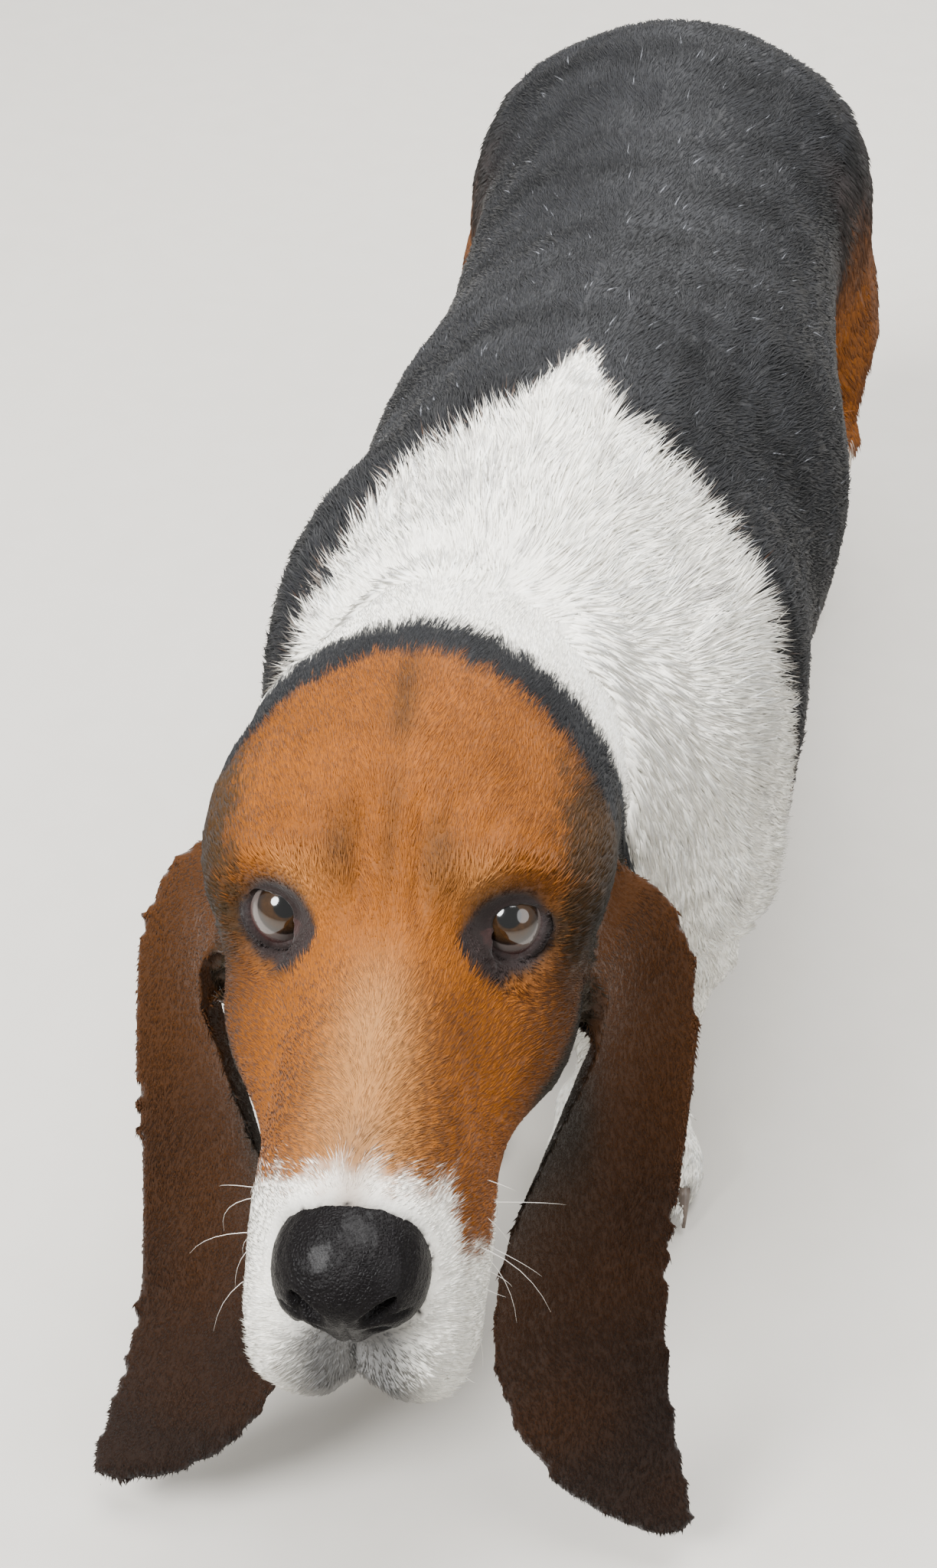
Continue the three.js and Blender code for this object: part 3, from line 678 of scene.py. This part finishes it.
# Eyeballs: wet and dark brown, turned up to meet the eyes of someone standing over the dog, so that
# a rim of white shows below. The cornea bulges over the iris. They sit in the hide behind the lids.
IRIS_RADIUS = 9.7 * MM
PUPIL_RADIUS = 3.6 * MM
CORNEA_RISE = 0.9 * MM
LOOKED_AT = from_head(72, 400, 590)
for side, sign in SIDES:
    clear_selection()
    bpy.ops.mesh.primitive_uv_sphere_add(segments=64, ring_count=40, radius=EYE_RADIUS, location=(0, 0, 0))
    eye = bpy.context.object
    eye.name = eye.data.name = f"eyeball_{side}"
    look = unit(LOOKED_AT - eye_spot[side])
    ball = corners_of(eye.data)
    ball = ball @ np.array(Vector((0, 0, 1)).rotation_difference(Vector(look)).to_matrix()).T
    angle = np.arccos(np.clip(unit(ball) @ look, -1, 1)) * EYE_RADIUS
    rise = 1 + CORNEA_RISE / EYE_RADIUS * (1 - step(angle, 0.2 * IRIS_RADIUS, 1.25 * IRIS_RADIUS))
    move_corners(eye.data, eye_spot[side] + ball * rise[:, None] * 0.995)
    bpy.ops.object.shade_smooth()
    wet = Finish(f"wet_eye_{side}")
    from_middle = {0: wet.place(), 1: eye_spot[side]}
    middle = wet.node("ShaderNodeVectorMath", {"operation": "SUBTRACT"}, from_middle)
    facing = wet.node("ShaderNodeVectorMath", {"operation": "NORMALIZE"}, {0: middle})
    away = wet.node("ShaderNodeVectorMath", {"operation": "DISTANCE"}, {0: facing, 1: look}, "Value")
    off = Number(wet, away) * (EYE_RADIUS / MM)
    fibres = wet.noise(700, 4.0)
    veins = wet.noise(420, 5.0)
    iris_mm, pupil_mm = IRIS_RADIUS / MM, PUPIL_RADIUS / MM
    white = wet.blend_colour(veins.above(0.55, 0.8) * 0.5, (0.075, 0.062, 0.057, 1), (0.06, 0.024, 0.02, 1))
    iris = wet.blend_colour(fibres, (0.008, 0.0038, 0.0018, 1), (0.038, 0.018, 0.006, 1))
    iris = wet.blend_colour(off.above(iris_mm * 0.66, iris_mm), iris, (0.008, 0.005, 0.004, 1))
    colour = wet.blend_colour(off.above(iris_mm - 0.5, iris_mm + 0.4), iris, white)
    colour = wet.blend_colour(off.above(iris_mm + 2.0, iris_mm + 4.4), colour, (0.045, 0.018, 0.016, 1))
    colour = wet.blend_colour(off.above(pupil_mm - 0.3, pupil_mm + 0.5), (0.003, 0.003, 0.003, 1), colour)
    wet.set(Base_Color=colour, Roughness=0.12, Coat_Weight=0.8, Coat_Roughness=0.06, IOR=1.38)
    wet.on(eye)
    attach(eye, "root")
    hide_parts(f"eye_{side}")

# Nose: a broad, moist pad of pebbled black leather with two comma-shaped nostrils, set in the muzzle.
NOSE_CELL = 0.75 * MM
nose = cast_of(["nose"], "nose_leather", 0)
nose.data.remesh_voxel_size = NOSE_CELL
bpy.ops.object.voxel_remesh()
smooth(nose.data, np.ones(len(nose.data.vertices)), 28, swell=0.0)
nose_points = corners_of(nose.data)
n_across, n_ahead, n_up = to_head(nose_points).T
crease = 1.0 * np.exp(-((n_across / 0.9) ** 2)) * step(-n_up, 1, 7) * step(n_ahead, 118, 124)
dip = 0.5 * np.exp(-((n_across / 5) ** 2)) * step(n_up, -6, 6) * step(n_ahead, 110, 122)
pebbles = 0.10 * waver(nose_points / MM, 1.7, 21)
nose_points += normals_of(nose.data) * ((pebbles - crease - dip) * MM)[:, None]
NOSTRIL_ACROSS, NOSTRIL_UP, NOSTRIL_DEPTH = 10.2, -2.6, 7.0
n_side = np.abs(n_across) - NOSTRIL_ACROSS
n_rise = n_up - NOSTRIL_UP - 0.35 * n_side
hole = np.exp(-(((n_side / 4.5) ** 2 + (n_rise / 3.0) ** 2) ** 2))
slit_line = n_up - NOSTRIL_UP + 3.2 + 0.04 * (n_side - 3) ** 2
slit = np.exp(-((slit_line / 1.0) ** 2)) * step(n_side, 0, 3) * step(-n_side, -10, -6)
wing = np.exp(-((np.hypot(n_side / 1.45, n_rise) - 4.1) ** 2) / 1.4) * step(n_up, -4, 2)
nose_front = step(n_ahead, 112, 118)
drawn_in = (NOSTRIL_DEPTH * hole + 2.6 * slit * (1 - hole) - 0.8 * wing) * nose_front
nose_points += (HEAD_TURN @ np.array((0.0, 1.0, 0.25)))[None] * (drawn_in * MM)[:, None]
nose_low = np.array(cad_low) + 0.4 * MM
move_corners(nose.data, np.maximum(nose_points, nose_low))
take(nose)
bpy.ops.object.shade_smooth()
leather = Finish("moist_nose_leather")
leather_cells = {"Vector": leather.place(), "Scale": 900.0}
cells = leather.number("ShaderNodeTexVoronoi", {"feature": "DISTANCE_TO_EDGE"}, leather_cells)
cloud = leather.noise(120, 3.0)
tone = leather.blend_colour(cloud, (0.001, 0.0008, 0.0009, 1), (0.004, 0.0032, 0.0034, 1))
leather.set(Base_Color=tone, Roughness=0.36 + 0.16 * cloud, Specular_IOR_Level=0.07)
leather.set(Coat_Weight=0.05, Coat_Roughness=0.2)
leather.bump(cells.above(0.0, 0.35), 0.00016)
leather.on(nose)
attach(nose, "root")
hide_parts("nose")

# Claws: blunt, dark horn, one from each toe, growing forwards and down to just above the floor.
PAWS = {
    "forepaw": {"spot": (49, -66), "half_width": 37, "half_length": 42, "height": 44, "splay": 10},
    "hindpaw": {"spot": (70, 388), "half_width": 33, "half_length": 42, "height": 38, "splay": 6},
}
TOES = (-1.5, -0.5, 0.5, 1.5)
TOE_REACH, TOE_FALL_BACK, TOE_SPREAD = 1.14, 0.14, 0.47
CLAW_ROOT_AHEAD, CLAW_RISE = 2, 0.26
CLAW_RADIUS, CLAW_LENGTH, CLAW_DIP = 4.0 * MM, 17 * MM, 0.6
clear_selection()
bpy.ops.mesh.primitive_cone_add(
    vertices=14, radius1=CLAW_RADIUS, radius2=0.9 * MM, depth=CLAW_LENGTH, end_fill_type="TRIFAN"
)
claw = bpy.context.object
bpy.ops.object.mode_set(mode="EDIT")
bpy.ops.mesh.select_all(action="SELECT")
bpy.ops.mesh.subdivide(number_cuts=4)
bpy.ops.object.mode_set(mode="OBJECT")
claw_shape = corners_of(claw.data)
along = claw_shape[:, 2] / CLAW_LENGTH + 0.5
claw_shape[:, 0] *= 0.8
claw_shape[:, 1] = claw_shape[:, 1] - 2.6 * MM * along**2
claw_turn = np.array(Matrix.Rotation(math.pi / 2 + CLAW_DIP, 3, "X"))
horn = Finish("claw_horn")
stripes = horn.noise(260, 3.0)
horn.set(Base_Color=horn.blend_colour(stripes, (0.045, 0.034, 0.028, 1), (0.12, 0.09, 0.07, 1)))
horn.set(Roughness=0.32 + 0.2 * stripes)
horn.bump(stripes, 0.0002)
for foot, paw in PAWS.items():
    for side, sign in SIDES:
        claws = []
        for toe in TOES:
            copy = claw.copy()
            copy.data = claw.data.copy()
            bpy.context.collection.objects.link(copy)
            reach = TOE_REACH - TOE_FALL_BACK * abs(toe) ** 1.5
            ahead = paw["half_length"] * reach + CLAW_ROOT_AHEAD
            spot = np.array((toe * paw["half_width"] * TOE_SPREAD, -ahead, paw["height"] * CLAW_RISE))
            splay = np.array(Matrix.Rotation(math.radians(sign * paw["splay"]), 3, "Z"))
            placed = (claw_shape @ claw_turn.T + spot * MM) @ splay.T
            placed += RIBS_AT + np.array((sign * paw["spot"][0], paw["spot"][1], 0)) * MM
            move_corners(copy.data, placed)
            claws.append(copy)
        clear_selection()
        for copy in claws:
            copy.select_set(True)
        bpy.context.view_layer.objects.active = claws[0]
        bpy.ops.object.join()
        joined = bpy.context.object
        joined.name = joined.data.name = f"claws_{foot}_{side}"
        bpy.ops.object.shade_smooth()
        horn.on(joined)
        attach(joined, "root")
bpy.data.objects.remove(claw)

# Whiskers: stiff, tapered white bristles from the flews and the chin, each rooted in the hide.
draw = np.random.default_rng(31)
BRISTLE_SIDES, BRISTLE_STEPS = 5, 7


def bristle(root, way, bend, length, thick):
    """A thin tapered tube along a curved line."""
    t = np.linspace(0, 1, BRISTLE_STEPS)
    line = root + np.outer(t, unit(way)) * length + np.outer(t**2, bend) * length
    heading = unit(np.gradient(line, axis=0))
    side_way = unit(np.cross(heading, (0.31, 0.2, 0.93)))
    other = np.cross(heading, side_way)
    angle = np.arange(BRISTLE_SIDES) * 2 * math.pi / BRISTLE_SIDES
    radius = thick * (1 - 0.85 * t)
    ring = side_way[:, None] * np.cos(angle)[None, :, None] + other[:, None] * np.sin(angle)[None, :, None]
    return (line[:, None] + ring * radius[:, None, None]).reshape(-1, 3)


def tube_faces(count):
    """The faces of so many bristles: a ring of sides at each step, and a cap at both ends."""
    faces = []
    for k in range(count):
        first = k * BRISTLE_SIDES * BRISTLE_STEPS
        for s in range(BRISTLE_STEPS - 1):
            ring = first + s * BRISTLE_SIDES
            for i in range(BRISTLE_SIDES):
                a, b = ring + i, ring + (i + 1) % BRISTLE_SIDES
                faces.append((a, b, b + BRISTLE_SIDES, a + BRISTLE_SIDES))
        last = first + (BRISTLE_STEPS - 1) * BRISTLE_SIDES
        faces.append(tuple(first + i for i in reversed(range(BRISTLE_SIDES))))
        faces.append(tuple(last + i for i in range(BRISTLE_SIDES)))
    return faces


hairs = []
for sign in (-1, 1):
    for row in range(3):
        for k in range(3):
            ahead = 76 + 11 * k + 3 * row + draw.uniform(-3, 3)
            root = from_head(sign * (33 - 0.12 * max(ahead - 90, 0) ** 1.35), ahead, -24 - 10 * row)
            droop = draw.uniform(-1.1, 0.1) - 0.25 * row
            way = HEAD_TURN @ np.array((sign, draw.uniform(-0.35, 0.35), droop))
            bend = HEAD_TURN @ np.array((-0.3 * sign, draw.uniform(-0.1, 0.3), draw.uniform(-0.6, -0.2)))
            hairs.append(bristle(root, way, bend, draw.uniform(14, 46) * MM, 0.14 * MM))
    for k in range(6):
        root = from_head(sign * draw.uniform(12, 30), draw.uniform(92, 120), draw.uniform(-66, -50))
        way = HEAD_TURN @ np.array((sign * draw.uniform(0.2, 0.7), draw.uniform(-0.3, 0.2), -1))
        bend = HEAD_TURN @ np.array((-0.2 * sign, draw.uniform(0.0, 0.4), 0.1))
        hairs.append(bristle(root, way, bend, draw.uniform(10, 22) * MM, 0.13 * MM))
whiskers = bpy.data.objects.new("whiskers", bpy.data.meshes.new("whiskers"))
bpy.context.collection.objects.link(whiskers)
whiskers.data.from_pydata(np.concatenate(hairs).tolist(), [], tube_faces(len(hairs)))
bristles = Finish("white_bristle")
tint = bristles.noise(60, 2.0)
bristle_tone = bristles.blend_colour(tint, (0.80, 0.78, 0.74, 1), (0.55, 0.50, 0.44, 1))
bristles.set(Base_Color=bristle_tone, Roughness=0.4)
bristles.on(whiskers)
take(whiskers)
bpy.ops.object.shade_smooth()
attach(whiskers, "root")

# Coat: short hair in fine pointed tufts that lie along the body, rooted in the hide. It is shortest on
# the face, ears and feet, and longer and looser over the neck, the shoulders and the tail.
mesh = skin.data
mesh.calc_loop_triangles()
count = len(mesh.loop_triangles)
tri = np.empty(count * 3, int)
mesh.loop_triangles.foreach_get("vertices", tri)
tri = tri.reshape(-1, 3)
tri_loops = np.empty(count * 3, int)
mesh.loop_triangles.foreach_get("loops", tri_loops)
tri_loops = tri_loops.reshape(-1, 3)
skin_points = corners_of(mesh)
skin_normals = normals_of(mesh)
unwrap = np.empty(len(mesh.loops) * 2)
mesh.uv_layers["OFBake"].uv.foreach_get("vector", unwrap)
unwrap = unwrap.reshape(-1, 2)
tri_points = skin_points[tri]
tri_area = 0.5 * np.linalg.norm(
    np.cross(tri_points[:, 1] - tri_points[:, 0], tri_points[:, 2] - tri_points[:, 0]), axis=1
)
tri_part = parts[tri[:, 0]]

# Length and width of a tuft in millimetres, how often tufts lie over each other, and how far they stand.
COATS = {
    "head": {"length": 5.6, "width": 0.66, "layers": 2.2, "lift": 0.10, "slot": "tan_coat"},
    "ear": {"length": 3.6, "width": 0.8, "layers": 1.45, "lift": 0.02, "slot": "ear_coat"},
    "neck": {"length": 17, "width": 1.0, "layers": 3.4, "lift": 0.12, "slot": "white_coat"},
    "shoulder": {"length": 14, "width": 0.95, "layers": 2.8, "lift": 0.10, "slot": "white_coat"},
    "torso": {"length": 12.5, "width": 1.0, "layers": 2.4, "lift": 0.09, "slot": "black_coat"},
    "haunch": {"length": 12.5, "width": 1.0, "layers": 2.3, "lift": 0.09, "slot": "tan_coat"},
    "foreleg": {"length": 9, "width": 1.1, "layers": 1.8, "lift": 0.09, "slot": "white_coat"},
    "hindleg": {"length": 9, "width": 1.1, "layers": 1.8, "lift": 0.09, "slot": "white_coat"},
    "forepaw": {"length": 6, "width": 1.0, "layers": 1.7, "lift": 0.09, "slot": "white_coat"},
    "hindpaw": {"length": 6, "width": 1.0, "layers": 1.7, "lift": 0.09, "slot": "white_coat"},
    "tail": {"length": 14, "width": 1.2, "layers": 2.4, "lift": 0.12, "slot": "black_coat"},
}


def lie(places, normals, found):
    """The way that the hair lies: back from the nose, down the ears, flanks and legs."""
    body = (places - RIBS_AT) / MM
    side = np.sign(body[:, 0])
    upright = np.abs(normals[:, 2])
    way = np.stack([0.15 * side, np.full(len(side), 1.0), -0.35 - 0.5 * (1 - upright)], axis=1)
    chest = step(-body[:, 1], 90, 140) * is_part(found, "torso", "neck", "shoulder")
    way = way + chest[:, None] * np.array((0.0, -0.7, -1.0))
    legs = is_part(found, "foreleg", "hindleg", "haunch")
    way = np.where(legs[:, None], np.array((0.0, 0.35, -1.0)), way)
    way = np.where(is_part(found, "forepaw", "hindpaw")[:, None], np.array((0.0, -0.9, -0.6)), way)
    way = np.where(is_part(found, "tail")[:, None], np.array((0.0, 0.2, -1.0)), way)
    across, ahead, up = to_head(places).T
    turn = np.tanh((across + 1.5 * waver(body, 14, 44)) / 7)
    fan = step(ahead, 20, 80)
    droop = -0.1 - 0.9 * step(-up, 6, 34)
    head_way = np.stack([turn * (0.25 + 0.9 * fan), 1.0 - 0.25 * fan, droop], axis=1)
    for side_name, sign in SIDES:
        off = (places - eye_spot[side_name]) / MM
        far = np.linalg.norm(off, axis=1)
        head_way = head_way + (off / far[:, None]) @ HEAD_TURN * (2.6 * np.exp(-((far / 24) ** 2)))[:, None]
    head_way = head_way @ HEAD_TURN.T
    way = np.where(is_part(found, "head", "nose")[:, None], head_way, way)
    ear_way = np.stack([0.05 * side, np.full(len(side), 0.15), np.full(len(side), -1.0)], axis=1)
    way = np.where(is_part(found, "ear")[:, None], ear_way, way)
    way = way + 0.22 * np.stack([waver(body, 38, s) for s in (41, 42, 43)], axis=1)
    return unit(way - normals * (way * normals).sum(1)[:, None])


coat_material = hair_finish("short_hair", 0.03)[0]
TUFT = np.array([(0, 1, 2), (0, 2, 3), (1, 3, 2), (0, 3, 1)])
ROOT_DEPTH = 0.5 * MM
PATCH = 0.003
LOINS = 140 * MM
coat_seeds = iter(range(101, 140))
MOST_TUFTS = 49000
STRAY_SHARE = 0.005
# No hair grows on the lids' edges or on the nose.
hairy = np.ones(count, bool)
tri_middle = tri_points.mean(1)
for side, sign in SIDES:
    reach, a, b, radius = lid_reach(tri_middle, side, sign)
    hairy &= ~((reach < 1.3) & (radius < 26 * MM))

nose_tree = kdtree.KDTree(len(nose_points))
for index, point in enumerate(nose_points):
    nose_tree.insert(point, index)
nose_tree.balance()


def off_nose(places):
    """Distance from the nose leather in millimetres, for places on the muzzle."""
    found = np.full(len(places), 99.0)
    muzzle = np.flatnonzero(to_head(places)[:, 1] > 80)
    found[muzzle] = [nose_tree.find(Vector(p))[2] / MM for p in places[muzzle]]
    return found


hairy &= off_nose(tri_middle) > 1.8


def grow(name, chosen, length, width, layers, lift, slot):
    """One piece of coat over the chosen triangles of the hide."""
    draw = np.random.default_rng(next(coat_seeds))
    share = np.where(chosen & hairy, tri_area, 0)
    total = share.sum()
    number = int(total / (0.5 * length * width * MM * MM) * layers)
    number = min(number, MOST_TUFTS)
    at = np.searchsorted(np.cumsum(share), draw.uniform(0, total, number))
    at = np.minimum(at, count - 1)
    r, s = draw.uniform(size=(2, number))
    r = np.sqrt(r)
    weights = np.stack([1 - r, r * (1 - s), r * s], axis=1)
    root = (tri_points[at] * weights[:, :, None]).sum(1)
    normal = unit((skin_normals[tri[at]] * weights[:, :, None]).sum(1))
    uv = (unwrap[tri_loops[at]] * weights[:, :, None]).sum(1)
    found = tri_part[at]
    way = lie(root, normal, found)
    way = unit(way + draw.normal(size=(number, 3)) * 0.13)
    way = unit(way - normal * (way * normal).sum(1)[:, None])
    size = draw.uniform(0.65, 1.25, number) * length * MM
    for side, sign in SIDES:
        reach, a, b, radius = lid_reach(root, side, sign)
        size *= np.where(radius < 34 * MM, 0.35 + 0.65 * step(reach, 2, 13), 1)
    size *= 0.45 + 0.55 * step(off_nose(root), 1, 9)
    thick = draw.uniform(0.75, 1.2, number) * width * MM
    stand = size * lift * draw.uniform(0.5, 1.5, number)
    around = np.cross(normal, way)
    sunk = root - normal * ROOT_DEPTH
    tuft = np.stack(
        [
            sunk - around * thick[:, None] / 2,
            sunk + around * thick[:, None] / 2,
            root + normal * (0.45 * thick + 0.35 * stand)[:, None] + way * (0.35 * size)[:, None],
            root + normal * (0.6 * stand)[:, None] + way * size[:, None],
        ],
        axis=1,
    )
    ragged = draw.normal(size=number) * 2.2
    tone = markings(root, found, ragged) * draw.uniform(0.85, 1.15, number)[:, None]
    dark = tone.max(axis=1) < 0.1
    stray = dark & is_part(found, "torso") & (draw.uniform(size=number) < STRAY_SHARE)
    tone[stray] = GREY * 4.5
    # Each tuft is painted darker at its two root corners and lighter at its tip: painted shade down among the
    # hairs and painted light on the tips.
    shade = np.array((0.84, 0.84, 1.0, 1.14))
    tones = np.clip(tone[:, None] * shade[None, :, None], DARKEST, PALEST)
    low = np.array(cad_low) + 0.1 * MM
    high = np.array(cad_high) - 0.1 * MM
    tuft = np.clip(tuft, low, high)
    mesh = bpy.data.meshes.new(name)
    mesh.vertices.add(number * 4)
    mesh.vertices.foreach_set("co", tuft.astype(np.float32).ravel())
    corners = (np.arange(number)[:, None, None] * 4 + TUFT[None]).reshape(-1)
    mesh.loops.add(len(corners))
    mesh.loops.foreach_set("vertex_index", corners)
    mesh.polygons.add(number * 4)
    mesh.polygons.foreach_set("loop_start", np.arange(number * 4) * 3)
    mesh.update(calc_edges=True)
    mesh.polygons.foreach_set("use_smooth", np.ones(number * 4, bool))
    layer = mesh.uv_layers.new(name="OFBake")
    offsets = np.array([(-0.5, -0.5), (0.5, -0.5), (0, 0), (0, 0.5)]) * PATCH
    spots = (uv[:, None] + offsets[None]).reshape(-1, 2)[corners]
    layer.uv.foreach_set("vector", np.clip(spots, 0, 1).astype(np.float32).ravel())
    paint(mesh, tones.reshape(-1, 3))
    made = bpy.data.objects.new(name, mesh)
    bpy.context.collection.objects.link(made)
    coat_material.on(made)
    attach(made, "root")


for kind, coat in COATS.items():
    of_kind = is_part(tri_part, kind)
    middle_x = HEAD_AT[0] if kind in ("head", "neck") else RIBS_AT[0]
    if kind == "tail":
        grow("coat_tail", of_kind, **coat)
        continue
    behind_ribs = tri_middle[:, 1] > RIBS_AT[1] + LOINS
    for side, sign in SIDES:
        half = of_kind & (sign * (tri_middle[:, 0] - middle_x) > 0)
        if kind == "torso":
            grow(f"coat_torso_front_{side}", half & ~behind_ribs, **coat)
            grow(f"coat_torso_rear_{side}", half & behind_ribs, **coat)
        else:
            grow(f"coat_{kind}_{side}", half, **coat)

# Studio: a pale flat floor, soft light from large round panels, and a camera held in front of and over the
# dog's head, as someone standing in front of it would see it.
bpy.ops.mesh.primitive_plane_add(size=9, location=(0, 0, 0))
floor = bpy.context.object
floor.name = "studio_floor"
floor_finish = Finish("pale_floor")
speck = floor_finish.noise(40, 4.0)
floor_tone = floor_finish.blend_colour(speck, (0.42, 0.40, 0.365, 1), (0.455, 0.435, 0.40, 1))
floor_finish.set(Base_Color=floor_tone, Roughness=0.8)
floor_finish.on(floor)

LAMPS = (
    ("key_panel", (-1.3, -1.5, 2.3), 1.3, 225),
    ("fill_panel", (1.7, -1.0, 1.5), 1.8, 36),
    ("rear_panel", (0.5, 2.0, 1.9), 1.6, 78),
    ("top_panel", (0.1, 0.0, 2.6), 1.6, 135),
)
for name, spot, size, power in LAMPS:
    light = bpy.data.lights.new(name, "AREA")
    light.shape = "DISK"
    light.size = size
    light.energy = power
    lamp = bpy.data.objects.new(name, light)
    lamp.location = spot
    lamp.rotation_mode = "QUATERNION"
    lamp.rotation_quaternion = (Vector((0, 0, 0.2)) - Vector(spot)).to_track_quat("-Z", "Y")
    bpy.context.collection.objects.link(lamp)
world = bpy.data.worlds.new("studio")
world.use_nodes = True
world.node_tree.nodes["Background"].inputs[0].default_value = (0.95, 0.94, 0.92, 1)
world.node_tree.nodes["Background"].inputs[1].default_value = 0.55
bpy.context.scene.world = world

CAMERA_FROM_RIBS = np.array((116, -742, 810)) * MM
CAMERA_RIGHT = (0.9799, 0.1994, 0.0)
CAMERA_UP = (-0.1308, 0.6429, 0.7547)
CAMERA_BACK = (0.1505, -0.7396, 0.6561)
camera = bpy.data.objects.new("camera", bpy.data.cameras.new("camera"))
camera.data.lens = 52.73
camera.data.sensor_width = 36
turn = Matrix((CAMERA_RIGHT, CAMERA_UP, CAMERA_BACK)).transposed()
camera.matrix_world = Matrix.Translation(RIBS_AT + CAMERA_FROM_RIBS) @ turn.to_4x4()
bpy.context.collection.objects.link(camera)
bpy.context.scene.camera = camera
